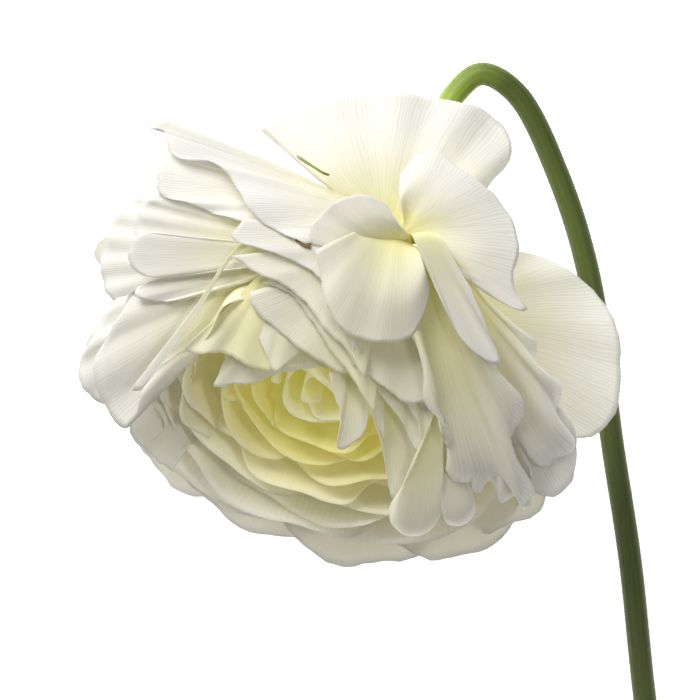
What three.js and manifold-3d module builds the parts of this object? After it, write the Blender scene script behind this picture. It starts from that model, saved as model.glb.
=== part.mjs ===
// A white, very double ranunculus bloom on its thin hooked stem, laid on a table with its face turned up.
// Millimetres, +Z up. The table is z = 0, and +Y is the side where the stem hooks over behind the bloom.
import * as THREE from 'three';
import { mergeVertices } from 'three/addons/utils/BufferGeometryUtils.js';
import Module from 'manifold-3d';

const wasm = await Module();
wasm.setup();

// Place of the whole flower: the point of the table that becomes the origin
const ORIGIN = new THREE.Vector3(8.1, -30.5, 0);

// Bloom: the middle of the receptacle that every petal grows from, and the way the bloom faces
const RECEPTACLE = new THREE.Vector3(2, 8.5, 27);
const LEAN = THREE.MathUtils.degToRad(45);
const HEADING = THREE.MathUtils.degToRad(-111);
const PETAL_THICKNESS = 0.64;
const CLEARANCE = 0.45;

// Distances from the face axis and heights along it of the receptacle disc and of the heart's core
const RECEPTACLE_PROFILE = [[0, -1], [4.2, -1], [8, 1.5], [20, 6], [20.5, 7], [19, 7.6], [0, 6.4]];
const RECEPTACLE_SIDES = 12;
const HEART_CORE_BOTTOM = 6.6;
const HEART_CORE_TOP = 12.8;
const HEART_CORE_RADIUS = 2.1;
const HEART_CORE_SIDES = 10;

// The throat, where the claws of the opened and hanging petals come up behind the heart as one bundle
const THROAT = new THREE.Vector3(7.5, 18, 46);
const CLAW_BUNDLE_ROOT = new THREE.Vector3(3, 21, 35);
const CLAW_BUNDLE_THICKNESS = 5;

// Rosette: nested cups set at the golden angle, from the heart outward
const ROSETTE_COUNT = 35;
const HEART_COUNT = 6;
const GOLDEN_ANGLE = 137.5;
const ROSETTE_START_ANGLE = 40;
const ROSETTE_INNER_RADIUS = 3.5;
const ROSETTE_SPAN = 39;
const ROSETTE_HEIGHT = 27;
const HEART_GAP = 1.3;
const HOOD_END = 0.5;
const HOOD_SAG_SHARE = 0.12;

// Sag of the bloom's upper side: its share of the radius and the angle where it is deepest
const SAG = 0.6;
const SAG_ANGLE = THREE.MathUtils.degToRad(68);

// Stem: its radius, the calyx at its top and the route of its middle line from the bloom to the cut
const STEM_RADIUS = 2.4;
const STEM_SIDES = 12;
const STEM_STEPS = 42;
const STEM_ROUTE = [
  [3.1, 11.4, 23.9],
  [5.3, 17.1, 17.8],
  [9.6, 27.4, 8.6],
  [15.4, 40.6, 3.3],
  [21.9, 53.4, STEM_RADIUS],
  [27.4, 57.6, STEM_RADIUS],
  [34.6, 53.6, STEM_RADIUS],
  [43.8, 35.4, STEM_RADIUS],
  [50, 14.6, STEM_RADIUS],
  [54.6, -18.8, STEM_RADIUS],
  [58.4, -43.8, STEM_RADIUS],
  [61.5, -73, STEM_RADIUS],
  [68, -120, STEM_RADIUS],
];
const CALYX_PROFILE = [[0, -10], [2.2, -10], [2.7, -6], [4, -3], [4.2, -1.4], [0, -1.4]];
const CALYX_SIDES = 10;
const SEPAL_COUNT = 5;
const SEPAL_THICKNESS = 0.9;
const SEPAL_START_ANGLE = 18;

// How finely a petal's spine is followed and its cross-section is bent
const SPINE_STEPS = 48;
const BEND_STEPS = 12;

// The bloom's own axes: out of its face, to its right and toward its upper edge
const FACE = new THREE.Vector3(
  Math.sin(LEAN) * Math.cos(HEADING),
  Math.sin(LEAN) * Math.sin(HEADING),
  Math.cos(LEAN),
);
const RIGHT = new THREE.Vector3(-Math.sin(HEADING), Math.cos(HEADING), 0);
const UPPER = new THREE.Vector3().crossVectors(FACE, RIGHT);
const TABLE_NORMAL = new THREE.Vector3(0, 0, 1);

function sagShare(angle) {
  return Math.max(0, Math.cos(angle - SAG_ANGLE)) ** 1.5;
}

// A point of the bloom given by its angle round the face axis, distance from it and height along it.
// The upper side sags over the heart under its own weight, the same way for every petal.
function bloomPoint(angle, radius, height) {
  const above = sagShare(angle);
  const sag = SAG * radius * above * THREE.MathUtils.clamp(height / ROSETTE_HEIGHT, 0, 1.2) ** 2;
  return RECEPTACLE.clone()
    .addScaledVector(RIGHT, radius * Math.cos(angle))
    .addScaledVector(UPPER, radius * Math.sin(angle))
    .addScaledVector(FACE, height)
    .addScaledVector(RIGHT, -sag * Math.cos(SAG_ANGLE))
    .addScaledVector(UPPER, -sag * Math.sin(SAG_ANGLE));
}

// Direction straight out from the face axis toward a point
function outward(point) {
  const offset = point.clone().sub(RECEPTACLE);
  return offset.addScaledVector(FACE, -offset.dot(FACE)).normalize();
}

// The middle line of a petal with its forward and sideways directions, in even steps
function petalSpine({ route, rootSide, tipSide }) {
  const curve = new THREE.CatmullRomCurve3(route, false, 'centripetal');
  const points = curve.getSpacedPoints(SPINE_STEPS);
  return points.map((point, step) => {
    const before = points[Math.max(step - 1, 0)];
    const after = points[Math.min(step + 1, SPINE_STEPS)];
    const forward = after.clone().sub(before).normalize();
    const turned = THREE.MathUtils.smoothstep(step / SPINE_STEPS, 0, 0.75);
    const side = rootSide.clone().lerp(tipSide, turned).normalize();
    side.addScaledVector(forward, -side.dot(forward)).normalize();
    return { point, forward, side };
  });
}

function spineAt(spine, along) {
  const place = THREE.MathUtils.clamp(along, 0, 1) * SPINE_STEPS;
  const first = Math.min(Math.floor(place), SPINE_STEPS - 1);
  const share = place - first;
  const a = spine[first];
  const b = spine[first + 1];
  return {
    point: a.point.clone().lerp(b.point, share),
    forward: a.forward.clone().lerp(b.forward, share).normalize(),
    side: a.side.clone().lerp(b.side, share).normalize(),
  };
}

// A petal that would sink into the table lies along it
const TABLE_REST = 0.33;
const TABLE_SOFTNESS = 1.2;
function liftOffTable(point) {
  const depth = (point.z - TABLE_REST) / TABLE_SOFTNESS;
  if (depth < 20) {
    point.z = TABLE_REST + TABLE_SOFTNESS * Math.log1p(Math.exp(depth));
  }
  return point;
}

// How much the rim is notched at a place across the petal
function rimTeeth(v, phase) {
  return 1 + 0.5 * Math.sin(5.3 * v + 2.1 * phase) + 0.5 * Math.sin(11.7 * v + phase);
}

// The waves of a petal grow toward its tip and its side edges
function waveShare(u, across) {
  return u * u * (0.25 + 0.75 * Math.abs(across) ** 1.5) + 0.35 * u ** 4;
}

// Middle surface of a petal: a fan that widens from its claw, with a round tip, cupped across
// its width, and with its outer edge in waves. u runs from root to tip and v from side to side.
function petalSurface(shape) {
  const { halfWidths, cup, round, claw = 0.12, open = 0, spread = 1, trim = [0, 0] } = shape;
  const { ruffle = 0, waves = 3, phase = 0, crease = 0, notch = 0.02, rows, columns } = shape;
  const spine = petalSpine(shape);
  const meanWidth = (halfWidths[0] + halfWidths[1]) / 2;
  const surface = [];
  for (let row = 0; row <= rows; row += 1) {
    const u = row / rows;
    const opened = Math.max(0, (u - open) / (1 - open));
    const widening = claw + (1 - claw) * Math.sin(opened * Math.PI / 2) ** spread;
    const line = [];
    for (let column = 0; column <= columns; column += 1) {
      const v = -1 + 2 * column / columns;
      const across = Math.sin(v * Math.PI / 2);
      const onSide = v < 0 ? 0 : 1;
      const notched = 1 - notch * u ** 3 * rimTeeth(v, phase);
      const shortened = notched * (1 - u * u * trim[onSide] * across * across);
      const along = (u * (1 - round) + round * u * u * Math.cos(v * Math.PI / 2)) * shortened;
      const { point, forward, side } = spineAt(spine, along);
      const inner = new THREE.Vector3().crossVectors(forward, side);
      const step = across * widening * halfWidths[onSide] / BEND_STEPS;
      const bend = (cup[0] + (cup[1] - cup[0]) * along) / meanWidth;
      let sideways = 0;
      let raised = 0;
      for (let k = 0; k < BEND_STEPS; k += 1) {
        const distance = Math.abs(step * (k + 0.5));
        const angle = distance * bend + crease * Math.tanh(6 * distance / meanWidth);
        sideways += step * Math.cos(angle);
        raised += Math.abs(step) * Math.sin(angle);
      }
      raised += ruffle * waveShare(u, across) * Math.sin(waves * Math.PI * v + phase);
      raised += 0.35 * ruffle * u ** 3 * Math.sin(2.3 * waves * Math.PI * v + 1.7 * phase);
      point.addScaledVector(side, sideways).addScaledVector(inner, raised);
      line.push(liftOffTable(point));
    }
    surface.push(line);
  }
  return surface;
}

function surfaceNormal(surface, row, column) {
  const lastRow = surface.length - 1;
  const lastColumn = surface[0].length - 1;
  const along = surface[Math.min(row + 1, lastRow)][column].clone()
    .sub(surface[Math.max(row - 1, 0)][column]);
  const across = surface[row][Math.min(column + 1, lastColumn)].clone()
    .sub(surface[row][Math.max(column - 1, 0)]);
  return along.cross(across).normalize();
}

// Closed blade of even thickness round a middle surface, its border moved outward by the margin. Both
// faces are split along the same diagonals.
function bladeGeometry(surface, thickness, margin = 0) {
  const rows = surface.length - 1;
  const columns = surface[0].length - 1;
  const inside = (place, last) => THREE.MathUtils.clamp(place, 1, last - 1);
  const positions = [];
  for (const half of [thickness / 2, -thickness / 2]) {
    surface.forEach((line, row) => line.forEach((point, column) => {
      const inner = surface[inside(row, rows)][inside(column, columns)];
      const moved = point.clone().addScaledVector(surfaceNormal(surface, row, column), half);
      moved.addScaledVector(point.clone().sub(inner).normalize(), margin);
      positions.push(moved.x, moved.y, moved.z);
    }));
  }
  const layer = (rows + 1) * (columns + 1);
  const vertex = (row, column) => row * (columns + 1) + column;
  const index = [];
  for (let row = 0; row < rows; row += 1) {
    for (let column = 0; column < columns; column += 1) {
      const a = vertex(row, column);
      const b = vertex(row + 1, column);
      const c = vertex(row + 1, column + 1);
      const d = vertex(row, column + 1);
      index.push(a, b, c, a, c, d);
      index.push(layer + a, layer + c, layer + b, layer + a, layer + d, layer + c);
    }
  }
  const border = [];
  for (let column = 0; column < columns; column += 1) border.push(vertex(0, column));
  for (let row = 0; row < rows; row += 1) border.push(vertex(row, columns));
  for (let column = columns; column > 0; column -= 1) border.push(vertex(rows, column));
  for (let row = rows; row > 0; row -= 1) border.push(vertex(row, 0));
  border.forEach((a, place) => {
    const b = border[(place + 1) % border.length];
    index.push(a, b, layer + b, a, layer + b, layer + a);
  });
  const geometry = new THREE.BufferGeometry();
  geometry.setAttribute('position', new THREE.Float32BufferAttribute(positions, 3));
  geometry.setIndex(index);
  return geometry;
}

function solidFrom(geometry) {
  const bare = geometry.clone();
  bare.deleteAttribute('normal');
  bare.deleteAttribute('uv');
  const welded = mergeVertices(bare, 1e-4);
  return new wasm.Manifold(new wasm.Mesh({
    numProp: 3,
    vertProperties: new Float32Array(welded.getAttribute('position').array),
    triVerts: new Uint32Array(welded.index.array),
  }));
}

function fused(geometries) {
  return geometries.map(solidFrom).reduce((whole, piece) => whole.add(piece));
}

// The outer skin of a fused solid: sealed hollows are filled and loose scraps are dropped
function outerSkin(solid) {
  const mesh = solid.getMesh();
  const parent = Array.from({ length: mesh.vertProperties.length / mesh.numProp }, (_, i) => i);
  const find = (i) => {
    let root = i;
    while (parent[root] !== root) root = parent[root];
    parent[i] = root;
    return root;
  };
  const corner = (i) => new THREE.Vector3().fromArray(mesh.vertProperties, i * mesh.numProp);
  for (let t = 0; t < mesh.triVerts.length; t += 3) {
    parent[find(mesh.triVerts[t + 1])] = find(mesh.triVerts[t]);
    parent[find(mesh.triVerts[t + 2])] = find(mesh.triVerts[t]);
  }
  const shells = new Map();
  for (let t = 0; t < mesh.triVerts.length; t += 3) {
    const [a, b, c] = mesh.triVerts.slice(t, t + 3);
    const root = find(a);
    const shell = shells.get(root) ?? { volume: 0, triangles: [] };
    shell.volume += corner(a).dot(corner(b).cross(corner(c))) / 6;
    shell.triangles.push(a, b, c);
    shells.set(root, shell);
  }
  const largest = [...shells.values()].reduce((best, shell) => (shell.volume > best.volume ? shell : best));
  const geometry = new THREE.BufferGeometry();
  geometry.setAttribute('position', new THREE.BufferAttribute(mesh.vertProperties, mesh.numProp));
  geometry.setIndex(largest.triangles);
  return geometry;
}

// A petal with a route of its own: it leaves its start toward its first point and ends at its last.
// facing 1 turns its inner face up, and -1 turns its outer face up.
function placedPetal({ via, start = THROAT, facing = 1, rows = 4, columns = 5, ...shape }) {
  const points = via.map((place) => new THREE.Vector3(...place));
  const out = outward(points[0]);
  const route = [start, ...points];
  const heading = route.at(-1).clone().sub(route.at(-2)).normalize();
  return petalSurface({
    ...shape,
    rows,
    columns,
    route,
    rootSide: new THREE.Vector3().crossVectors(FACE, out),
    tipSide: new THREE.Vector3().crossVectors(TABLE_NORMAL, heading).normalize().multiplyScalar(facing),
  });
}

// A petal of a whorl: a strip of a turned cup. Its profile holds distances from the face axis and
// heights along it, and lap swings one edge inward and the other outward, as overlapping petals lie.
function whorlPetal(shape) {
  const { angle, profile, halfWidth, round, claw = 0.2, spread = 0.8, lap = 0 } = shape;
  const { ruffle = 0, waves = 3, phase = 0, notch = 0.02, rows, columns } = shape;
  const turn = THREE.MathUtils.degToRad(angle);
  const corners = profile.map(([radius, height]) => new THREE.Vector3(radius, height, 0));
  const line = new THREE.CatmullRomCurve3(corners, false, 'centripetal');
  const surface = [];
  for (let row = 0; row <= rows; row += 1) {
    const u = row / rows;
    const widening = claw + (1 - claw) * Math.sin(u * Math.PI / 2) ** spread;
    const cross = [];
    for (let column = 0; column <= columns; column += 1) {
      const v = -1 + 2 * column / columns;
      const across = Math.sin(v * Math.PI / 2);
      const rounded = u * (1 - round) + round * u * u * Math.cos(v * Math.PI / 2);
      const along = rounded * (1 - notch * u ** 3 * rimTeeth(v, phase));
      const place = THREE.MathUtils.clamp(along, 0, 1);
      const { x: radius, y: height } = line.getPointAt(place);
      const rise = line.getTangentAt(place);
      const wave = ruffle * waveShare(u, across) * Math.sin(waves * Math.PI * v + phase);
      const shift = lap * across - wave;
      const swing = halfWidth * widening * across / radius;
      const point = bloomPoint(turn + swing, radius + shift * rise.y, height - shift * rise.x);
      cross.push(liftOffTable(point));
    }
    surface.push(cross);
  }
  return surface;
}

// The rosette. Its outermost petals of the upper side are left out, because the hanging petals are there.
function rosettePetal(count) {
  const q = (count + 0.5) / ROSETTE_COUNT;
  const inHeart = count < HEART_COUNT;
  const angle = ROSETTE_START_ANGLE + count * GOLDEN_ANGLE;
  if (q > HOOD_END && sagShare(THREE.MathUtils.degToRad(angle)) > HOOD_SAG_SHARE) return null;
  const radius = ROSETTE_INNER_RADIUS + ROSETTE_SPAN * q ** 0.9 + (inHeart ? 0 : HEART_GAP);
  const height = ROSETTE_HEIGHT + 5 * Math.sin(q * Math.PI * 0.62) - 4 * q ** 3;
  return whorlPetal({
    angle,
    profile: [
      inHeart ? [0.9 + 0.1 * radius, 9] : [0.45 * radius, 6],
      [0.62 * radius + 1.2, 0.3 * height + 3],
      [1.04 * radius, 0.68 * height],
      [(0.95 + 0.07 * q) * radius, height],
    ],
    halfWidth: 0.66 * radius + 5,
    round: 0.24,
    notch: 0.01,
    ruffle: 0.1 + 0.3 * q,
    waves: 2 + 0.5 * Math.sin(count),
    phase: count * 1.3,
    rows: q > 0.5 ? 3 : 2,
    columns: 6,
  });
}

// Lower cup whorl round the rosette, on the side that shows
const CUP_ANGLES = [-151, -124, -97, -70, -43, -16];
function cupPetal(angle, count) {
  const sway = Math.sin(count * 2.1 + 0.3);
  const radius = 50.5;
  const height = 24 + 0.8 * Math.cos(count * 1.9);
  return whorlPetal({
    angle: angle + 3 * sway,
    profile: [[16, 6], [0.62 * radius, 0.3 * height], [0.9 * radius, 0.62 * height], [radius, height]],
    halfWidth: 18,
    round: 0.22,
    claw: 0.4,
    ruffle: 0.3,
    lap: 0.9,
    waves: 2.5,
    phase: count * 2,
    rows: 4,
    columns: 6,
  });
}

// Guard petals under the cup whorl, with the broad ones at the bloom's left and right. Each has its
// angle, half width and profile from the receptacle to its tip.
const GUARDS = [
  { angle: -114, halfWidth: 15, profile: [[5.5, 0.6], [27, 2.5], [44, 7.5], [55, 15]] },
  { angle: -80, halfWidth: 15, profile: [[5.5, 0.6], [27, 2.5], [44, 7.5], [56, 15]] },
  { angle: -46, halfWidth: 15, profile: [[5.5, 0.6], [27, 2.5], [44, 7.5], [54, 13]] },
  { angle: -150, halfWidth: 15, profile: [[5.5, 0.6], [27, 3], [44, 9], [56, 19]] },
  { angle: -172, halfWidth: 14, lap: 0, profile: [[5.5, 0], [28, 0.3], [44, 1], [56, 4]] },
  { angle: 2, halfWidth: 20, round: 0.4, lap: 0, profile: [[5.5, 0.2], [28, 1], [42, 2], [56, 2]] },
];
function guardPetal(shape, count) {
  return whorlPetal({
    round: 0.3,
    claw: 0.1,
    lap: 1.1,
    ruffle: 0.5,
    waves: 2,
    phase: count * 1.1,
    rows: 4,
    columns: 5,
    ...shape,
  });
}

// Petals opened back behind the bloom, inner face up
const OPENED_PETALS = [
  // the big petal at the top
  { via: [[7.5, 24, 48], [7.5, 36, 52], [8, 51, 50]], halfWidths: [24, 25], cup: [0.4, 0.1], round: 0.3,
    ruffle: 0.6, open: 0.1, columns: 7 },
  // the fans at the upper left, from the top one down
  { via: [[-2, 27, 52], [-16, 33, 53], [-40, 44, 50]], halfWidths: [6, 9], cup: [0.5, 0.4], round: 0.15,
    ruffle: 0.5, columns: 4 },
  { via: [[-8, 25, 55], [-22, 29, 55], [-43, 34, 49]], halfWidths: [7, 8], cup: [0.5, 0.4], round: 0.15,
    ruffle: 0.4, columns: 4 },
  { via: [[-10, 23, 58], [-24, 23, 57], [-48, 22, 46]], halfWidths: [7, 8], cup: [0.5, 0.4], round: 0.15,
    ruffle: 0.4, columns: 4 },
  // the fan at the upper right
  { via: [[19, 21, 56], [34, 18, 57]], halfWidths: [15, 20], cup: [0.1, -0.3], round: 0.25,
    ruffle: 0.5, open: 0.1, trim: [-0.12, 0.32] },
];

// Petals that rise behind the bloom and flop forward over it, outer face up
const HANGING_PETALS = [
  // the tongue in the middle, and its half that stands up behind the fold
  { via: [[8, 21.5, 61], [5, 10, 67], [3.5, 1.6, 64]], halfWidths: [8, 12], cup: [0.2, 0.4],
    round: 0.35, open: 0.2, ruffle: 0.3 },
  { via: [[5, 21.5, 61], [-5, 26, 64]], halfWidths: [7, 7], cup: [0.2, -0.2], round: 0.4,
    open: 0.2, facing: 1, rows: 3, columns: 4 },
  // the long drape right of it and the rolled band along its edge
  { via: [[12, 20, 60], [18, 4, 62], [27, -19, 53]], halfWidths: [8, 11], cup: [0.6, 0.6],
    round: 0.2, open: 0.1, crease: 0.3, ruffle: 0.3 },
  { via: [[14.5, 22, 64], [19, 11, 67], [28, -7, 61]], halfWidths: [2.6, 2.6],
    cup: [0.8, 0.8], round: 0.6, claw: 0.6, columns: 4 },
  // the two that hang down the right side
  { via: [[28, 4, 49], [43, -26, 40]], halfWidths: [8, 12], cup: [0.5, 0.5], round: 0.25,
    ruffle: 0.4 },
  { via: [[24, 4, 55], [38, -21, 48]], halfWidths: [8, 8], cup: [0.5, 0.5], round: 0.3,
    ruffle: 0.3, columns: 4 },
  // the covers over the hood, from the one above the heart to the one down the left side
  { via: [[-1, 19, 64], [-3, 8, 64.5], [-5, -4, 60]], halfWidths: [9, 12], cup: [0.4, 0.5], round: 0.25,
    ruffle: 0.4, columns: 4 },
  { via: [[-9, 19, 66], [-19, 12, 66], [-26, -6, 56]], halfWidths: [9, 10], cup: [0.4, 0.5], round: 0.3,
    ruffle: 0.4, columns: 4 },
  { via: [[-13, 21, 65], [-27, 14, 64], [-43, -8, 47]], halfWidths: [6, 6], cup: [0.5, 0.5], round: 0.3,
    ruffle: 0.3, columns: 4 },
  { via: [[-14, 24, 62], [-31, 19, 61], [-52, -2, 44]], halfWidths: [8, 9], cup: [0.5, 0.3], round: 0.25,
    ruffle: 0.4, columns: 4 },
  // the drop-shaped ones below the middle
  { via: [[15, -2, 62], [15, -24, 48], [12, -39, 31]], halfWidths: [6.5, 6.5], cup: [0.7, 0.7],
    round: 0.35, spread: 1.6, columns: 4 },
  { via: [[20, -10, 58], [23, -36, 36]], halfWidths: [5, 5], cup: [0.8, 0.8], round: 0.35,
    spread: 1.6, columns: 4 },
];

// A round body on the bloom's own axis, from a profile of distances and heights
function turnedOnAxis(profile, sides) {
  const outline = profile.map(([radius, height]) => new THREE.Vector2(radius, height));
  const geometry = new THREE.LatheGeometry(outline, sides);
  geometry.rotateX(Math.PI / 2);
  const frame = new THREE.Matrix4().makeBasis(RIGHT, UPPER, FACE).setPosition(RECEPTACLE);
  return geometry.applyMatrix4(frame);
}

function rosette(from, to) {
  const surfaces = [];
  for (let count = from; count < to; count += 1) {
    const surface = rosettePetal(count);
    if (surface) surfaces.push(surface);
  }
  return surfaces;
}

// The heart, or with a margin the room that the petals round it leave free
function heartSolid(margin = 0) {
  const core = turnedOnAxis([
    [0, HEART_CORE_BOTTOM - margin],
    [HEART_CORE_RADIUS + margin, HEART_CORE_BOTTOM - margin],
    [HEART_CORE_RADIUS + margin, 9],
    [1.3 + margin, 12 + margin],
    [0, HEART_CORE_TOP + margin],
  ], HEART_CORE_SIDES);
  const blades = rosette(0, HEART_COUNT).map((surface) => (
    bladeGeometry(surface, PETAL_THICKNESS + 2 * margin, 2 * margin)));
  return fused([core, ...blades]);
}

// The claws of the opened and hanging petals as one thick bundle, from the receptacle to the throat
function clawBundle() {
  const surface = placedPetal({
    start: CLAW_BUNDLE_ROOT,
    via: [[5, 14.5, 36], THROAT.toArray()],
    halfWidths: [5, 5],
    cup: [0.5, 0.5],
    round: 0.2,
    claw: 0.6,
    rows: 3,
    columns: 4,
  });
  return bladeGeometry(surface, CLAW_BUNDLE_THICKNESS);
}

function petalsSolid() {
  const core = turnedOnAxis(RECEPTACLE_PROFILE, RECEPTACLE_SIDES);
  const surfaces = [
    ...rosette(HEART_COUNT, ROSETTE_COUNT),
    ...CUP_ANGLES.map(cupPetal),
    ...GUARDS.map(guardPetal),
    ...OPENED_PETALS.map(placedPetal),
    ...HANGING_PETALS.map((shape) => placedPetal({ facing: -1, ...shape })),
  ];
  const blades = surfaces.map((surface) => bladeGeometry(surface, PETAL_THICKNESS));
  return fused([core, clawBundle(), ...blades]).subtract(heartSolid(CLEARANCE));
}

function sepalSurface(angle) {
  return whorlPetal({
    angle,
    profile: [[1.5, -3], [5.5, -3.6], [9, -7.5], [10.5, -13]],
    halfWidth: 3.6,
    round: 0.5,
    claw: 0.5,
    rows: 3,
    columns: 4,
  });
}

function stemSolid() {
  const section = new THREE.Shape();
  section.absarc(0, 0, STEM_RADIUS, 0, 2 * Math.PI);
  const route = STEM_ROUTE.map((place) => new THREE.Vector3(...place));
  const shaft = new THREE.ExtrudeGeometry(section, {
    steps: STEM_STEPS,
    curveSegments: STEM_SIDES / 2,
    extrudePath: new THREE.CatmullRomCurve3(route, false, 'centripetal'),
  });
  const top = turnedOnAxis(CALYX_PROFILE, CALYX_SIDES);
  const sepals = [];
  for (let count = 0; count < SEPAL_COUNT; count += 1) {
    sepals.push(bladeGeometry(sepalSurface(count * 360 / SEPAL_COUNT + SEPAL_START_ANGLE), SEPAL_THICKNESS));
  }
  return fused([shaft, top, ...sepals]);
}

function piece(name, solid, color, roughness) {
  const geometry = outerSkin(solid);
  geometry.computeVertexNormals();
  const mesh = new THREE.Mesh(geometry, new THREE.MeshStandardMaterial({ color, roughness, metalness: 0 }));
  mesh.name = name;
  mesh.position.copy(ORIGIN).negate();
  return mesh;
}

const flower = new THREE.Group();
flower.add(piece('petals', petalsSolid(), 0xf2f1e6, 0.55));
flower.add(piece('heart', heartSolid(), 0xd9d672, 0.55));
flower.add(piece('stem', stemSolid(), 0x4f6128, 0.6));

export default flower;
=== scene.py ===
"""A white double ranunculus bloom on its hooked stem: fine petals, heart, stem and studio."""
import math

import bpy
import numpy as np
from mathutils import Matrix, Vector


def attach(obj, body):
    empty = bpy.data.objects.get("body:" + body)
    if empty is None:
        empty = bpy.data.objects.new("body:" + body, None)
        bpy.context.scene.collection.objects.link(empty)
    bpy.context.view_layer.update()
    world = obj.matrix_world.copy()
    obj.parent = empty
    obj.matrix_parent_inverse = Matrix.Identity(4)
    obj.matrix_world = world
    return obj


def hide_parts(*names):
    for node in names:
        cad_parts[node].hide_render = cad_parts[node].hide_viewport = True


bl_info = {
    "name": "Ranunculus Flower",
    "version": (1, 0, 0),
    "blender": (4, 5, 0),
    "location": "View3D > Sidebar > Ranunculus",
    "description": "Builds the petals, heart and stem of a double ranunculus and its studio",
    "category": "Add Mesh",
}

MM = 0.001

# The layout is in millimetres. Its middle is the middle of the view, and this point is the frame's origin.
ORIGIN = np.array([8.1, -30.5, 0.0])

# Bloom: the middle of its receptacle and the way it faces
RECEPTACLE = np.array([2.0, 8.5, 27.0])
LEAN = math.radians(45)
HEADING = math.radians(-111)
FACE = np.array([
    math.sin(LEAN) * math.cos(HEADING),
    math.sin(LEAN) * math.sin(HEADING),
    math.cos(LEAN),
])
RIGHT = np.array([-math.sin(HEADING), math.cos(HEADING), 0.0])
UPPER = np.cross(FACE, RIGHT)
TABLE_NORMAL = np.array([0.0, 0.0, 1.0])

# Profiles hold distances from the face axis and heights along it
RECEPTACLE_PROFILE = ((0.3, -1), (4.2, -1), (8, 1.5), (20, 6), (20.5, 7), (19, 7.6), (0.3, 6.4))
RECEPTACLE_SIDES = 48

# The throat, where the claws of most loose petals come up behind the heart, and where those at the left do
THROAT = (7.5, 18, 46)
LEFT_ROOT = (1, 14, 47)

# The bundle of claws from the receptacle to the throat
CLAW_COUNT = 9
CLAW_ROOT = np.array([3.0, 21.0, 35.0])
CLAW_BEND = np.array([5.0, 14.5, 36.0])
CLAW_SPREAD = 4.0

# Sag of the bloom's upper side: its share of the radius, the angle where it is deepest, and the share of the
# rosette's height above which it grows no more
SAG = 0.6
SAG_ANGLE = math.radians(68)
SAG_LIMIT = 1.2

# Rosette: nested cups set at the golden angle, their place q running from 0 at the middle to 1. The first of
# them are the heart's. The others keep a gap to it and have a yellower tone near it, which also gives them a
# painted glow.
GOLDEN_ANGLE = 137.5
ROSETTE_START_ANGLE = 40
ROSETTE_INNER_RADIUS = 3.5
ROSETTE_SPAN = 39
ROSETTE_HEIGHT = 27
HEART_END = 6 / 35
HEART_GAP = 1.3
ROSETTE_TONE = 0.35

# Hood: the side of the rosette that is left open under the loose petals, from this q on. Its half angle
# grows with q.
HOOD_START = 0.22
HOOD_HALF_ANGLE = 55
HOOD_WIDENING = 60

# Cups at the left of the rosette that stand closer than the golden angle would set them: angle and place q
LEFT_CUPS = ((-156, 0.95), (-146, 0.84), (-160, 0.72), (-150, 0.6))
LEFT_CUP_WIDTH = 0.25

# The lower whorl of cups, and the guard petals under it
CUP_RADIUS = 50.5
CUP_HEIGHT = 24
CUP_ANGLES = (-151, -124, -97, -70, -43, -16)
GUARDS = (
    dict(angle=-114, half_width=15, profile=((5.5, 0.6), (27, 2.5), (44, 7.5), (55, 15))),
    dict(angle=-80, half_width=15, profile=((5.5, 0.6), (27, 2.5), (44, 7.5), (56, 15))),
    dict(angle=-46, half_width=15, profile=((5.5, 0.6), (27, 2.5), (44, 7.5), (54, 13))),
    dict(angle=-150, half_width=15, profile=((5.5, 0.6), (27, 3), (44, 9), (56, 19))),
    dict(angle=-172, half_width=14, lap=0, profile=((5.5, 0), (28, 0.3), (44, 1), (56, 4))),
)

# Petals of the whorls: rows and columns, how early they widen, and the depth of the fine teeth of their rims
WHORL_GRID = (24, 28)
FLARE = 0.8
TOOTH_DEPTH = 0.006

# Loose petals: how much wider the knot is than the claw, how far before the rim the shoulder of a drooping
# one lies, and the depth of the rim's notches
KNOT_WIDENING = 1.2
SHOULDER_SHARE = 0.2
NOTCH_DEPTH = 0.25

# Points on a dense curve
DENSE_STEPS = 400

# Height at which a petal lies on the table, how softly it turns into that, and how many times that softness
# above it a point is left alone
TABLE_REST = 0.33
TABLE_SOFTNESS = 1.2
FAR_ABOVE = 20

# Where the petals are yellowest and their painted glow strongest, how far that reaches, and the lowest tone
# that a corner can have
GLOW_IN_THROAT = np.array([8.0, 18.5, 58.0])
THROAT_GLOW_REACH = 6.0
HEART_GLOW_REACH = 30.0
WHITEST_TONE = -0.6

# Step from one blade's number to the next, which scatters them between 0 and 1, and how far apart their
# veins start
NUMBER_STEP = 0.381966
VEIN_SHUFFLE = 40.0
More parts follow.
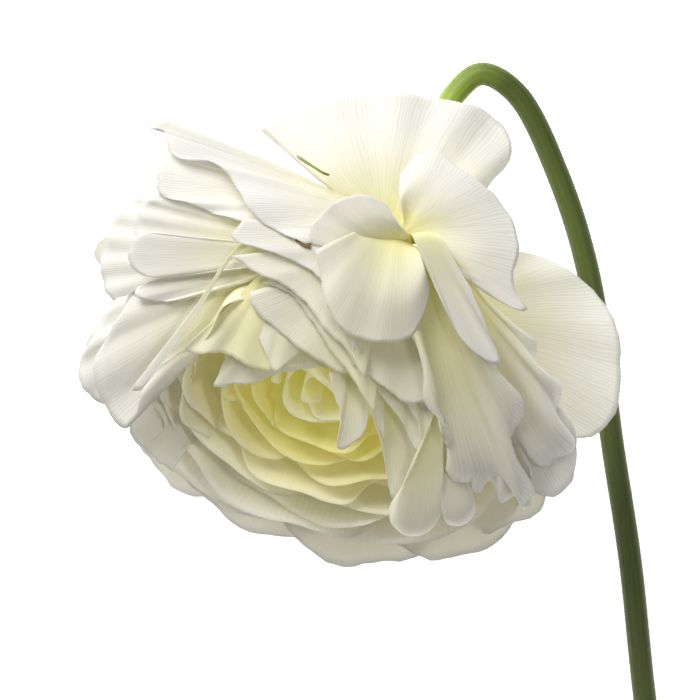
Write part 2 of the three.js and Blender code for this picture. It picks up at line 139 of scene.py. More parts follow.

# The loose petals. Each rises from its root, which is the throat if none is given, passes its knot and
# spreads to its rim, a line of points from one side edge to the other.
# A tone above nought makes a petal yellower and gives it a painted glow that lightens petals lying in shade;
# a tone below nought keeps it whiter, with less glow.
LOOSE_PETALS = dict(
    # opened back behind the bloom
    sail=dict(
        knot=(7.5, 24, 48), arch=3, claw=2.5, ruffle=0.7, waves=5, tone=-0.5,
        rim=((-18.4, 44.4, 46), (-10, 48, 48), (0, 50.3, 50), (8.3, 50.8, 51), (20, 49.8, 51),
        (28, 47, 50), (32, 42, 49), (31, 36, 49), (27, 32, 49))),
    banner=dict(
        knot=(12, 23, 56), arch=3, ruffle=0.5, tone=-0.3,
        rim=((10, 34, 57), (13, 38.4, 58), (17, 39.2, 58.5), (23.2, 34.8, 59), (29.6, 29.5, 59),
        (32.8, 24.1, 58.5), (33, 18.7, 58), (31.9, 14.4, 57.5), (33.4, 10.6, 57), (35.6, 7.6, 56.5),
        (33.6, 7.7, 57), (29.4, 9.8, 58), (27, 13.2, 59))),
    fan_top=dict(
        knot=(5, 26, 55), arch=1.5, ruffle=0.4, waves=4, tone=-0.4,
        rim=((-8.2, 20.4, 62), (-13.8, 23.2, 62), (-19, 26.8, 61), (-22, 31.5, 60), (-25.3, 36, 58.5),
        (-36, 39.4, 55.5), (-36.5, 43, 54.5), (-41, 44.6, 54), (-36.5, 45.8, 54))),
    fan_under=dict(
        knot=(0, 26, 53), arch=1.5, ruffle=0.5, waves=4, tone=-0.3,
        rim=((-14, 23, 58.5), (-22, 25.4, 57.5), (-31, 28.6, 56), (-38, 31.4, 55), (-38, 36, 54),
        (-36, 40, 53.5), (-30, 42, 52.5))),
    left_back=dict(
        root=LEFT_ROOT, knot=(-18, 20, 47), claw=3, ruffle=0.4, waves=6, crinkle=0.1, tone=-0.3,
        rim=((-36, 32, 45), (-44, 30, 44), (-47.5, 26, 43), (-49.5, 20, 42), (-49.5, 13, 41),
        (-46, 8, 41))),
    left_low=dict(
        root=LEFT_ROOT, knot=(-18, 15, 46), claw=3, ruffle=0.4, waves=4, crinkle=0.1, tone=-0.3,
        rim=((-44, 14, 42), (-48, 9, 41), (-52, 2, 40), (-54.4, -2.4, 38.5), (-54.6, -6.4, 37.5),
        (-52.2, -9.6, 37), (-47, -12, 37))),
    # from the knot at the left over the rosette's side
    leaf_upper=dict(
        root=LEFT_ROOT, knot=(-12, 20.5, 55), arch=1, claw=2.4, waves=4, tone=-0.1,
        rim=((-37.2, 31.2, 54.5), (-41, 29, 53), (-42.6, 25.5, 52.5), (-42.4, 22.4, 52.5),
        (-36, 22.4, 54))),
    leaf_middle=dict(
        root=LEFT_ROOT, knot=(-12, 19, 56), arch=1, ruffle=0.25, tone=-0.1,
        rim=((-36, 23, 54.4), (-42, 22.8, 53), (-44, 18.5, 52), (-42, 15.2, 51.8), (-36, 14.4, 52.6),
        (-30, 15.6, 54))),
    leaf_lower=dict(
        root=LEFT_ROOT, knot=(-12, 17.6, 54.6), arch=0.8, claw=1.6, ruffle=0.2,
        rim=((-35, 14.8, 51.5), (-41.5, 13, 50.2), (-43, 11, 49.6), (-38, 9.6, 50.4), (-33, 10, 51.6))),
    cheek=dict(
        root=LEFT_ROOT, knot=(-14, 16.4, 52.6), ruffle=0.5, waves=4, crinkle=0.1,
        rim=((-40, 13, 49.5), (-45, 8.5, 46.8), (-48.6, 2.4, 44.5), (-51.2, -2, 43), (-51, -7, 41.5),
        (-49, -12, 40.2), (-45.4, -16, 39.6), (-43, -13, 41.4), (-41.4, -8, 44), (-38, -3, 46.6))),
    roll_left=dict(
        root=LEFT_ROOT, knot=(-20, 21, 58), arch=1.2, claw=0.5, ruffle=0.1, crinkle=0, tone=-0.1,
        rim=((-38.6, -1.6, 49.4), (-42, -6.2, 47.4), (-43.6, -7.8, 46.8), (-42.4, -8.2, 47),
        (-39.6, -5.6, 48.6))),
    # its tone gives it a painted glow that lightens it in the shade of the slanting petals
    triangle=dict(
        root=LEFT_ROOT, knot=(-14, 16.4, 56.4), arch=1.4, claw=1, crinkle=0.1, tone=0.3,
        rim=((-34.6, -1, 50), (-32, -0.4, 50.6), (-29.6, -0.7, 51.4), (-25.2, -0.7, 52.6),
        (-20, -3.2, 53.2), (-16.4, -4.2, 53.4), (-13, -3, 53.6))),
    hood_rim=dict(
        root=LEFT_ROOT, knot=(-10, 10, 51.6), arch=1.4, claw=3, waves=2, tone=-0.2,
        rim=((-24.6, -1.4, 48.4), (-26, -4.6, 47.8), (-27.4, -7.6, 47.4), (-22.6, -6.8, 48),
        (-18.8, -6.4, 48.6), (-15, -4.8, 49.4), (-7.6, -3.8, 51), (0, -2.6, 52))),
    leaf_small=dict(
        root=LEFT_ROOT, knot=(-11.5, 14.6, 56.6), arch=1, claw=1.6, ruffle=0.2, crinkle=0.1, tone=-0.1,
        rim=((-19.6, 8.4, 55.8), (-18.4, 3, 55.3), (-16.4, -1.6, 55.1), (-14.8, -4.4, 54.8),
        (-13, -3, 54.9), (-9, 0, 54.6))),
    # from the throat, their rims slanting over the heart
    slant_upper=dict(
        knot=(5, 21, 60.6), arch=0.6, claw=2.4, ruffle=0.2, crinkle=0.1, tone=-0.2,
        rim=((-21, 26, 60), (-23.6, 22, 60.6), (-19, 20.4, 61.2), (-13.8, 18.6, 61.6), (-8, 15.8, 62),
        (-4.4, 11.5, 62), (-2, 6, 61.6), (1, 0, 60.8))),
    slant_second=dict(
        knot=(5, 19.5, 59.4), arch=0.6, claw=2.4, ruffle=0.2, crinkle=0.1,
        rim=((-23.4, 18.6, 60), (-18, 15, 60.2), (-13.4, 12.8, 60.4), (-9, 9.6, 60.4), (-5.4, 4.8, 60),
        (-1.2, 0.6, 59.4), (3, -6, 57.8))),
    slant_third=dict(
        knot=(4.6, 17.5, 58), arch=0.8, claw=2.6, ruffle=0.2, crinkle=0.1,
        rim=((-17.6, 13.2, 59), (-12.6, 11.6, 59), (-7.4, 5.8, 58.6), (-4.4, 0.6, 57.8),
        (-1.2, -3.4, 56.8), (2, -8, 55.4), (5, -13, 53.6))),
    slant_lower=dict(
        knot=(4, 15.5, 56.6), arch=1, claw=2.6, ruffle=0.2, crinkle=0.1, tone=-0.1,
        rim=((-19.6, 11.6, 58), (-19.4, 9, 57.6), (-17.4, 6.2, 57.4), (-13.4, 3, 57), (-9, -0.6, 56.2),
        (-5.6, -2.4, 55.6), (-1.6, -4.6, 54.8), (0.6, -4.8, 54.4), (2.4, -8, 53.4), (5, -14, 50.5),
        (7, -18, 48.5))),
    tongue=dict(
        knot=(8, 22, 62), arch=3.5, claw=4.5, ruffle=0.4,
        rim=((-7, 19.5, 65), (-5.6, 13.6, 64.5), (-4, 8, 64), (-1.8, 4, 63.5), (2.4, 1.8, 63),
        (7.4, 1.4, 63), (11.6, 2.4, 63.5), (14.2, 6.4, 64), (15.4, 12, 64.5))),
    tongue_back=dict(
        knot=(8, 21.5, 62), arch=1.5, claw=4, ruffle=0.2,
        rim=((-7.4, 20.4, 65.4), (-7.8, 24, 66), (-3.5, 28.6, 66.5), (1.9, 30.4, 66.5), (6.7, 28.8, 66),
        (9.4, 24.4, 65))),
    band=dict(
        root=(14.4, 21, 58), knot=(14.8, 22.6, 64.4), arch=0.6, claw=2.3, ruffle=0.1, waves=2, tone=-0.3,
        rim=((16.8, 12, 64.8), (20, 5.4, 64), (24.4, -0.6, 61.8), (29.2, -3, 59.8), (28.4, 0.6, 61.5),
        (26.2, 6, 63.6), (23.6, 12, 65))),
    drape=dict(
        knot=(14, 13, 60), arch=4, claw=3.4, droop=4, ruffle=2.2, onset=4, waves=4, tone=-0.1,
        rim=((11.4, 1, 60), (15.2, -6, 58), (17.8, -13, 54), (19.4, -19.6, 49), (20.4, -24, 44),
        (23.6, -25.8, 42), (27.4, -26.8, 40.6), (31, -28.6, 39), (34.8, -32, 37), (34.8, -26, 41.5),
        (34, -19, 46.5), (32.4, -10, 52.5), (29.4, -3, 57))),
    curtain_upper=dict(
        knot=(9, 10, 57.5), arch=1, claw=3, crinkle=0.15, tone=-0.1,
        rim=((0.4, -2.8, 57), (4.4, -5.6, 56.4), (8.2, -8.6, 55.6), (11.2, -10.6, 55), (14.4, -10.4, 55),
        (17.4, -10.8, 54.6), (19, -13, 53.4), (18.6, -8, 55.6))),
    curtain_middle=dict(
        knot=(9, 5, 55), arch=0.8, claw=3, crinkle=0.15, tone=-0.1,
        rim=((4.6, -3, 56), (8.2, -6.8, 55), (11.2, -10.6, 53.8), (13.4, -14.4, 52.2), (15, -18.6, 50),
        (16.2, -15, 51.6), (17.4, -10.6, 53))),
    curtain_fold=dict(
        knot=(7.6, 3.6, 53.8), arch=0.8, claw=3, crinkle=0.15, tone=-0.1,
        rim=((1.4, -3.4, 54.4), (5.4, -8.4, 53), (8.6, -12, 51.6), (11.2, -15.8, 50), (13.6, -20.6, 47.6),
        (15, -17, 49.6), (16.4, -12, 51.8))),
    curtain_lower=dict(
        knot=(6, 2, 52.6), arch=0.8, claw=3, crinkle=0.15, tone=-0.1,
        rim=((-1, -4.2, 52.6), (2.4, -8.4, 51.4), (4.4, -13, 49.6), (5.8, -18, 47), (7.4, -24, 43.6),
        (8.8, -30.6, 39.6), (11.4, -27, 41.2), (13.6, -20.6, 45), (13.8, -15, 48))),
    drop_right=dict(
        knot=(19, -9.6, 51.5), arch=1.6, claw=1.6, ruffle=0.2, droop=2, crinkle=0.1,
        rim=((17.4, -24, 43.6), (18.4, -31, 39.6), (19.4, -35, 37), (22.4, -35.4, 36.4), (25, -32.6, 38),
        (24.8, -28.6, 40.6), (22.4, -22, 45))),
    drop_left=dict(
        knot=(17.4, -10.6, 53), claw=1, ruffle=0.15, droop=2, crinkle=0.1,
        rim=((13.6, -20, 47.4), (11, -26.5, 42.6), (8, -31.4, 38.6), (8.4, -35, 36.2), (11.4, -37.4, 34.4),
        (15, -37.2, 34.4), (18, -34, 36.8), (18.6, -29, 40.4), (18, -22, 45.6))),
    # down the right side
    side_inner=dict(
        knot=(18, 16, 57), arch=3, claw=3, droop=3, ruffle=1.6, onset=4, waves=4,
        rim=((31.6, -19, 47.4), (34.2, -20, 45.4), (36.6, -21.4, 43), (39, -22.8, 41.6), (41.4, -24.6, 40),
        (43.4, -21, 41), (43.4, -15, 43.4), (41, -8, 46.8), (37.4, -1, 50.6), (33, 4.6, 54))),
    side_outer=dict(
        knot=(19, 14, 53), arch=3, claw=3, ruffle=0.6, waves=4, tone=-0.3,
        rim=((34, -24, 41), (38, -29, 38), (41.4, -29.6, 37), (44.4, -27, 38), (45.6, -22, 40),
        (45.3, -17.4, 42), (43.4, -13, 43.5), (39.3, -7, 46.5), (35, -0.6, 49.5))),
    side_lower=dict(
        knot=(22, 0, 50), arch=2.4, claw=3, droop=2, ruffle=2, onset=4, waves=4.4,
        rim=((19.5, -22, 46.5), (24, -26.6, 43.5), (29, -28, 41), (33, -31, 38.5), (34.5, -31.5, 38),
        (36, -24, 41.5))),
    # a broad cup at the left of the rosette
    cup_outer=dict(
        root=(-8, 2, 28), knot=(-25, -3, 33), arch=-1, claw=5, ruffle=0.5, crinkle=0.15,
        rim=((-38, -2, 41), (-41.4, -5.6, 39), (-43.6, -9.6, 37), (-44.4, -13.6, 35), (-43.8, -17.8, 33),
        (-40.6, -21.4, 30.6), (-36, -25, 28.4))),
    # a narrow petal that stands up beside the heart
    heart_flap=dict(
        root=(4, 4, 45), knot=(0.6, -1.6, 51.6), arch=0.4, claw=2.2, ruffle=0.2, crinkle=0.1, tone=-0.4,
        rim=((-4.2, -4.7, 53.4), (-3.3, -8.6, 52.4), (-2, -11.6, 51), (-2.2, -15.4, 49.6),
        (-2.2, -20, 47.6), (0.6, -18.8, 47.2), (3, -16, 48), (3.4, -9, 50.6))),
    # the broad guard at the right
    shield=dict(
        root=(8, 8, 30), knot=(20, 7, 34), arch=1, claw=5, ruffle=0.5, waves=4, tone=-0.4,
        rim=((32, 20.4, 35), (37, 19.6, 35), (42, 17.4, 35), (47, 14.2, 34.6), (51.4, 9.6, 34),
        (54, 4, 33), (54.9, -3, 32), (54.6, -9.6, 31), (52.8, -14.6, 30), (49, -18, 29.4), (45, -17.6, 30),
        (40, -14, 31))),
)

# Rims of the green sliver on the upper fan and of the withered tip at the fan's lower corner
SLIVER_RIM = ((-10, 37.7, 58), (-10.6, 38.4, 57.8), (-9.7, 38, 58))
TIP_RIM = ((-8.6, 20, 62.2), (-7.6, 20.2, 62.2), (-7.8, 21, 62.2))

# The stem's middle line from the calyx over the hook and down to the cut
STEM_RADIUS = 2.4
STEM_ROUTE = (
    (3.1, 11.4, 23.9),
    (5.3, 17.1, 17.8),
    (9.6, 27.4, 8.6),
    (15.4, 40.6, 3.3),
    (21.9, 53.4, STEM_RADIUS),
    (27.4, 57.6, STEM_RADIUS),
    (34.6, 53.6, STEM_RADIUS),
    (43.8, 35.4, STEM_RADIUS),
    (50, 14.6, STEM_RADIUS),
    (54.6, -18.8, STEM_RADIUS),
    (58.4, -43.8, STEM_RADIUS),
    (61.5, -73, STEM_RADIUS),
    (68, -120, STEM_RADIUS),
)

# Size of the ring that closes a tube, as a share of the tube's end
CAP_SHARE = 0.02

# The calyx under the bloom and its sepals, which are turned back
CALYX_PROFILE = ((0.2, -10), (2.2, -10), (2.7, -6), (4, -3), (4.2, -1.4), (0.2, -1.4))
CALYX_SIDES = 40
SEPAL_PROFILE = ((1.5, -3), (5.5, -3.6), (9, -7.5), (10.5, -13))
SEPAL_COUNT = 5
SEPAL_START_ANGLE = 18

# Hairs: how many times longer than their radius they are, how far they lean, the least share of their
# length, and the lowest upward part of the skin's normal that they grow on, so that none is under the stem
HAIR_SLIMNESS = 16
HAIR_LEAN = 0.5
HAIR_SHORTEST = 0.5
HAIR_LOWEST_NORMAL = -0.2
HAIR_SEED = 7

# Colours of a white petal between its claw and its rim, what its veins and a stem's ribs multiply them by,
# the tint of the light that passes through a petal, and the withered tip
WHITE_STOPS = (
    (0.14, (0.92, 0.89, 0.38)),
    (0.34, (0.95, 0.92, 0.60)),
    (0.55, (0.955, 0.935, 0.78)),
    (0.8, (0.955, 0.942, 0.885)),
)
VEIN_STOPS = ((0.22, (0.87, 0.862, 0.82)), (0.45, (0.965, 0.962, 0.945)), (0.7, (1.0, 1.0, 1.0)))
RIB_STOPS = ((0.35, (0.82, 0.82, 0.78)), (0.6, (1.0, 1.0, 1.0)))
THROUGH_PETAL = (1.0, 0.99, 0.94, 1)
WITHERED = (0.23, 0.12, 0.05)

# Sockets of a Mix node: its factor, its two numbers, its two colours and the colour that comes out
MIX_FACTOR = 0
MIX_NUMBERS = slice(2, 4)
MIX_COLORS = slice(6, 8)
MIX_COLOR_OUT = 2

# Lamps: the point of the layout that each looks at, how far off it stands and how large it is, in metres,
# and for a spot the angle of its cone
LAMPS = dict(
    key=dict(target=(0, 0, 40), offset=(-0.38, 0.7, 0.65), size=0.6),
    rosette=dict(target=(-38, -16, 38), offset=(0.4, -0.05, 0.8), size=0.08, cone=7),
    guard=dict(target=(51, -6, 32), offset=(0.35, 0.1, 0.85), size=0.08, cone=5),
    heart=dict(target=(0, 0, 40), offset=0.8 * FACE, size=0.4),
)

# From the floor's middle to its edge, in metres, and the width of the camera's sensor, in millimetres
FLOOR_REACH = 1.5
SENSOR_WIDTH = 36

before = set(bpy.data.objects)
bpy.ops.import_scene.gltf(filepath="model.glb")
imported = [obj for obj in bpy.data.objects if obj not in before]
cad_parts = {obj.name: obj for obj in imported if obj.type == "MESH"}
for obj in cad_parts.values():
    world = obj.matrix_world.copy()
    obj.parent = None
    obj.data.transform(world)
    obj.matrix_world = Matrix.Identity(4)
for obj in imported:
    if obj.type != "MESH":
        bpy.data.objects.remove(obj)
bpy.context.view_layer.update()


def unit(vectors):
    lengths = np.linalg.norm(vectors, axis=-1, keepdims=True)
    return vectors / np.maximum(lengths, 1e-12)


def chord_knots(points):
    """Knots of a centripetal curve: each gap is the root of the distance between its two points."""
    return np.concatenate([[0], np.cumsum(np.sqrt(np.linalg.norm(np.diff(points, axis=0), axis=1)))])


def smooth_path(stations, knots, count):
    """Rows of numbers in even steps along a smooth curve that comes to each station at its knot."""
    gaps = np.diff(knots)[:, None]
    rises = np.diff(stations, axis=0) / gaps
    inner = (gaps[1:] * rises[:-1] + gaps[:-1] * rises[1:]) / (gaps[:-1] + gaps[1:])
    slopes = np.concatenate([rises[:1], inner, rises[-1:]])
    t = np.linspace(0, knots[-1], count)
    i = np.clip(np.searchsorted(knots, t, side="right") - 1, 0, len(stations) - 2)
    x = (t - knots[i])[:, None] / gaps[i]
    return (
        (2 * x**3 - 3 * x**2 + 1) * stations[i]
        + (x**3 - 2 * x**2 + x) * gaps[i] * slopes[i]
        + (3 * x**2 - 2 * x**3) * stations[i + 1]
        + (x**3 - x**2) * gaps[i] * slopes[i + 1]
    )


def even_curve(corners, count):
    """Points in even steps along a smooth curve through the corners."""
    corners = np.array(corners, float)
    dense = smooth_path(corners, chord_knots(corners), DENSE_STEPS)
    walked = np.concatenate([[0], np.cumsum(np.linalg.norm(np.diff(dense, axis=0), axis=1))])
    steps = np.linspace(0, walked[-1], count)
    return np.stack([np.interp(steps, walked, values) for values in dense.T], 1)


def even_rows(lines, rows):
    """Rows of a smooth surface through lines of points that lie across a petal."""
    surface = smooth_path(lines.reshape(len(lines), -1), chord_knots(lines.mean(1)), rows + 1)
    return surface.reshape(rows + 1, -1, 3)


def sag_share(angle):
    return np.maximum(0, np.cos(angle - SAG_ANGLE)) ** 1.5


def bloom_point(angle, radius, height):
    """A point of the bloom from its angle round the face axis, distance from it and height along it.
    The upper side sags over the heart, the same way for every petal."""
    sag = SAG * radius * sag_share(angle) * np.clip(height / ROSETTE_HEIGHT, 0, SAG_LIMIT) ** 2
    rightward = radius * np.cos(angle) - sag * math.cos(SAG_ANGLE)
    upward = radius * np.sin(angle) - sag * math.sin(SAG_ANGLE)
    return (
        RECEPTACLE
        + rightward[..., None] * RIGHT
        + upward[..., None] * UPPER
        + np.asarray(height)[..., None] * FACE
    )


def lift_off_table(points):
    """A petal that would sink into the table lies along it."""
    depth = (points[..., 2] - TABLE_REST) / TABLE_SOFTNESS
    lifted = TABLE_REST + TABLE_SOFTNESS * np.log1p(np.exp(np.minimum(depth, FAR_ABOVE)))
    points[..., 2] = np.where(depth < FAR_ABOVE, lifted, points[..., 2])
    return points


def rim_teeth(v, phase):
    return 1 + 0.5 * np.sin(5.3 * v + 2.1 * phase) + 0.5 * np.sin(11.7 * v + phase)


def fine_teeth(v, phase):
    return 0.5 * np.sin(31 * v + 3.1 * phase) + 0.3 * np.sin(53 * v + 1.7 * phase)


def wave_share(u, across):
    """The waves of a petal grow toward its tip and its side edges."""
    return u * u * (0.25 + 0.75 * np.abs(across) ** 1.5) + 0.35 * u**4


def fine_waves(u, v, across, phase):
    """Small crinkles near the rim, as thin petals have."""
    crinkle = np.sin(9.5 * v + 2.3 * phase) * 0.6 + np.sin(17 * v - 1.3 * phase) * 0.4
    return u**3 * (0.3 + 0.7 * np.abs(across)) * crinkle


def petal_grid(rows, columns):
    """u runs from 0 at the claw to 1 at the rim, v from -1 at one side edge to 1 at the other."""
    u = np.linspace(0, 1, rows + 1)[:, None]
    v = np.linspace(-1, 1, columns + 1)[None, :]
    return u, v


def rounded_reach(u, v, rounding, notch, phase):
    """How far along its length a petal has come at u and v, so that its tip is round and toothed."""
    reach = u * (1 - rounding) + rounding * u * u * np.cos(v * np.pi / 2)
    return reach * (1 - notch * u**3 * rim_teeth(v, phase) - TOOTH_DEPTH * u**6 * fine_teeth(v, phase))


def surface_normal(points):
    return unit(np.cross(np.gradient(points, axis=0), np.gradient(points, axis=1)))


def whorl_petal(angle, profile, half_width, rounding=0.24, claw=0.2, lap=0.0, ruffle=0.0, waves=3.0,
                phase=0.0, notch=0.02, crinkle=0.25):
    """A strip of a cup turned round the face axis."""
    u, v = petal_grid(*WHORL_GRID)
    across = np.sin(v * np.pi / 2)
    widening = claw + (1 - claw) * np.sin(u * np.pi / 2) ** FLARE
    along = np.clip(rounded_reach(u, v, rounding, notch, phase), 0, 1)
    line = even_curve(profile, DENSE_STEPS)
    rise = unit(np.gradient(line, axis=0))
    place = np.linspace(0, 1, DENSE_STEPS)
    radius, height, rise_r, rise_h = (
        np.interp(along, place, values) for values in (line[:, 0], line[:, 1], rise[:, 0], rise[:, 1])
    )
    wave = ruffle * wave_share(u, across) * np.sin(waves * np.pi * v + phase)
    wave = wave + crinkle * fine_waves(u, v, across, phase)
    shift = lap * across - wave
    swing = half_width * widening * across / radius
    points = bloom_point(math.radians(angle) + swing, radius + shift * rise_h, height - shift * rise_r)
    return lift_off_table(points)


def loose_petal(root, knot, rim, arch=2.0, claw=2.0, ruffle=0.3, waves=3.0, phase=0.0, onset=3,
                crinkle=0.3, droop=0.0, rows=38, columns=36):
    """A petal from its root over its knot to its rim, arched between the knot and the rim.
    With a droop it stays high almost to the rim and then turns down."""
    rim_line = even_curve(rim, columns + 1)
    sideways = unit(rim_line[-1] - rim_line[0])
    across = np.linspace(-1, 1, columns + 1)[:, None]
    knot = np.array(knot, float)
    root_line = np.array(root, float) + across * claw * sideways
    knot_line = knot + across * KNOT_WIDENING * claw * sideways
    above = unit(np.cross(sideways, rim_line.mean(0) - knot))
    above = above * np.sign(above[2])
    middle_line = (knot_line + rim_line) / 2 + above * arch
    lines = [root_line, knot_line, middle_line, rim_line]
    if droop:
        shoulder = rim_line + SHOULDER_SHARE * (middle_line - rim_line)
        lines.insert(3, shoulder + above * droop * np.cos(across * np.pi / 2))
    points = even_rows(np.stack(lines), rows)
    u, v = petal_grid(rows, columns)
    wave = ruffle * u**onset * np.sin(waves * np.pi * v + phase)
    wave = wave + crinkle * fine_waves(u, v, np.sin(v * np.pi / 2), phase)
    notches = NOTCH_DEPTH * u**8 * (rim_teeth(v, phase) - 1 + fine_teeth(v, phase))
    edge = unit(np.gradient(points, axis=0))
    return lift_off_table(points + surface_normal(points) * wave[..., None] - edge * notches[..., None])


def petal_shell(points, thickness, rim_share):
    """Closed blade round a middle surface, thinner at its rim, with (across, along) for each corner."""
    rows, columns = points.shape[0] - 1, points.shape[1] - 1
    u, v = petal_grid(rows, columns)
    edge = np.maximum(u, np.abs(v)) ** 5
    half = surface_normal(points) * (thickness * (1 - (1 - rim_share) * edge) / 2)[..., None]
    corners = np.concatenate([(points + half).reshape(-1, 3), (points - half).reshape(-1, 3)])
    layer = (rows + 1) * (columns + 1)
    index = np.arange(layer).reshape(rows + 1, columns + 1)
    a, b, c, d = index[:-1, :-1], index[1:, :-1], index[1:, 1:], index[:-1, 1:]
    upper = np.stack([a, b, c, d], -1).reshape(-1, 4)
    lower = np.stack([a, d, c, b], -1).reshape(-1, 4) + layer
    border = np.concatenate([index[0], index[1:, -1], index[-1, -2::-1], index[-2:0:-1, 0]])
    following = np.roll(border, -1)
    sides = np.stack([border, following, following + layer, border + layer], -1)
    place = np.stack(np.broadcast_arrays((v + 1) / 2, u), -1).reshape(-1, 2)
    return corners, np.concatenate([upper, lower, sides]), np.tile(place, (2, 1))


def shells(surfaces):
    settings = bpy.context.scene.ranunculus_bloom
    thickness = settings.petal_thickness / MM
    return [petal_shell(points, thickness, settings.rim_share) for points in surfaces]


def circle(middle, first, second, radius, sides):
    """Points of a circle in the plane of two directions. Its first point comes again at the end."""
    turn = np.linspace(0, 2 * np.pi, sides + 1)[:, None]
    return middle + radius * (np.cos(turn) * first + np.sin(turn) * second)


def turned_rings(profile, sides):
    """Rings round the face axis, one for each distance and height of the profile."""
    return np.array([
        circle(RECEPTACLE + height * FACE, RIGHT, UPPER, radius, sides) for radius, height in profile
    ])


def closed_tube(rings):
    """A tube through the rings, closed at both ends by a cap drawn in to the middle."""
    first, last = (
        (ring.mean(0) * (1 - CAP_SHARE) + ring * CAP_SHARE)[None] for ring in (rings[0], rings[-1])
    )
    rings = np.concatenate([first, rings, last])
    steps, sides = rings.shape[0] - 1, rings.shape[1] - 1
    corners = rings[:, :-1].reshape(-1, 3)
    index = np.arange(len(corners)).reshape(steps + 1, sides)
    following = np.roll(index, -1, axis=1)
    faces = np.stack([index[:-1], following[:-1], following[1:], index[1:]], -1).reshape(-1, 4)
    around = np.abs(2 * np.arange(sides) / sides - 1)
    along, around = np.meshgrid(np.linspace(0, 1, steps + 1), around, indexing="ij")
    return corners, faces, np.stack([around, along], -1).reshape(-1, 2)


def yellow_and_painted_glow(points):
    """How much of the yellow of its depths a point of the bloom has, most by the heart and in the throat:
    partly the petals' own yellower bases, partly painted light, the yellow and faint glow of light passed on
    through many petals.
    """
    place = points - RECEPTACLE
    from_axis = np.linalg.norm(place - (place @ FACE)[:, None] * FACE, axis=1)
    from_throat = np.linalg.norm(points - GLOW_IN_THROAT, axis=1)
    by_heart = np.exp(-((from_axis / HEART_GLOW_REACH) ** 2))
    in_throat = np.exp(-((from_throat / THROAT_GLOW_REACH) ** 2))
    return np.clip(by_heart + in_throat, 0, 1)


def mesh_object(name, blades, material, tones=None):
    """One object from several closed blades. Its first map holds how far across and along its blade each
    corner is, its second map the corner's tone and its blade's number. The tone sets how yellow a corner is
    and how strong its painted glow."""
    corners, faces, places, facts = [], [], [], []
    start = 0
    for number, (points, quads, place) in enumerate(blades):
        tone = tones[number] if tones is not None else 0.0
        corners.append(points)
        faces.append(quads + start)
        places.append(place)
        own_number = np.full(len(points), (number * NUMBER_STEP) % 1.0)
        facts.append(np.stack([np.clip(tone + yellow_and_painted_glow(points), WHITEST_TONE, 1), own_number], 1))
        start += len(points)
    corners = (np.concatenate(corners) - ORIGIN) * MM
    faces = np.concatenate(faces)
    mesh = bpy.data.meshes.new(name)
    mesh.vertices.add(len(corners))
    mesh.vertices.foreach_set("co", corners.astype(np.float32).ravel())
    mesh.loops.add(faces.size)
    mesh.loops.foreach_set("vertex_index", faces.astype(np.int32).ravel())
    mesh.polygons.add(len(faces))
    mesh.polygons.foreach_set("loop_start", np.arange(0, faces.size, 4, dtype=np.int32))
    mesh.polygons.foreach_set("use_smooth", np.ones(len(faces), bool))
    mesh.update(calc_edges=True)
    for layer_name, values in (("petal", np.concatenate(places)), ("facts", np.concatenate(facts))):
        layer = mesh.uv_layers.new(name=layer_name)
        layer.data.foreach_set("uv", values[faces.ravel()].astype(np.float32).ravel())
    mesh.materials.append(material)
    return linked_object(name, mesh)


def linked_object(name, data):
    piece = bpy.data.objects.new(name, data)
    bpy.context.scene.collection.objects.link(piece)
    return piece


def finish_piece(piece, slot, *nodes):
    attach(piece, "root")
    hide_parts(*nodes)


def feed(tree, value, socket):
    """Links an output to the socket, or sets a constant there."""
    if isinstance(value, bpy.types.NodeSocket):
        tree.links.new(value, socket)
    else:
        socket.default_value = value


def add_node(tree, kind, **values):
    """A node with its properties set. The names that start with a capital are those of its inputs."""
    node = tree.nodes.new(kind)
    for name, value in values.items():
        if name[0].isupper():
            feed(tree, value, node.inputs[name.replace("_", " ")])
        else:
            setattr(node, name, value)
    return node


def math_node(tree, operation, first, second):
    node = add_node(tree, "ShaderNodeMath", operation=operation)
    feed(tree, first, node.inputs[0])
    feed(tree, second, node.inputs[1])
    return node.outputs[0]


def ramp_color(tree, factor, stops):
    """The colour that a ramp through the stops has at the factor."""
    node = tree.nodes.new("ShaderNodeValToRGB")
    elements = node.color_ramp.elements
    while len(elements) < len(stops):
        elements.new(0.5)
    for element, (position, color) in zip(elements, stops):
        element.position = position
        element.color = (*color, 1)
    tree.links.new(factor, node.inputs[0])
    return node.outputs[0]


def multiply_colors(tree, first, second, share=1.0):
    """A colour multiplied by another, in full or by a share."""
    mix = add_node(tree, "ShaderNodeMix", data_type="RGBA", blend_type="MULTIPLY")
    mix.inputs[MIX_FACTOR].default_value = share
    for value, socket in zip((first, second), mix.inputs[MIX_COLORS]):
        feed(tree, value, socket)
    return mix.outputs[MIX_COLOR_OUT]


def map_values(tree, map_name):
    """The two values that one of a mesh's maps has for each corner."""
    own_map = add_node(tree, "ShaderNodeUVMap", uv_map=map_name)
    parts = add_node(tree, "ShaderNodeSeparateXYZ", Vector=own_map.outputs[0])
    return parts.outputs[0], parts.outputs[1]


def streaks(tree, place, shuffled, across, along, detail):
    """Noise that is fine across the petal and long along it, another for each petal."""
    spread = add_node(
        tree, "ShaderNodeCombineXYZ",
        X=math_node(tree, "MULTIPLY", place[0], across),
        Y=math_node(tree, "MULTIPLY", place[1], along),
        Z=shuffled,
    )
    noise = add_node(tree, "ShaderNodeTexNoise", Vector=spread.outputs[0], Scale=1.0, Detail=detail,
                     Roughness=0.55)
    return noise.outputs[0]


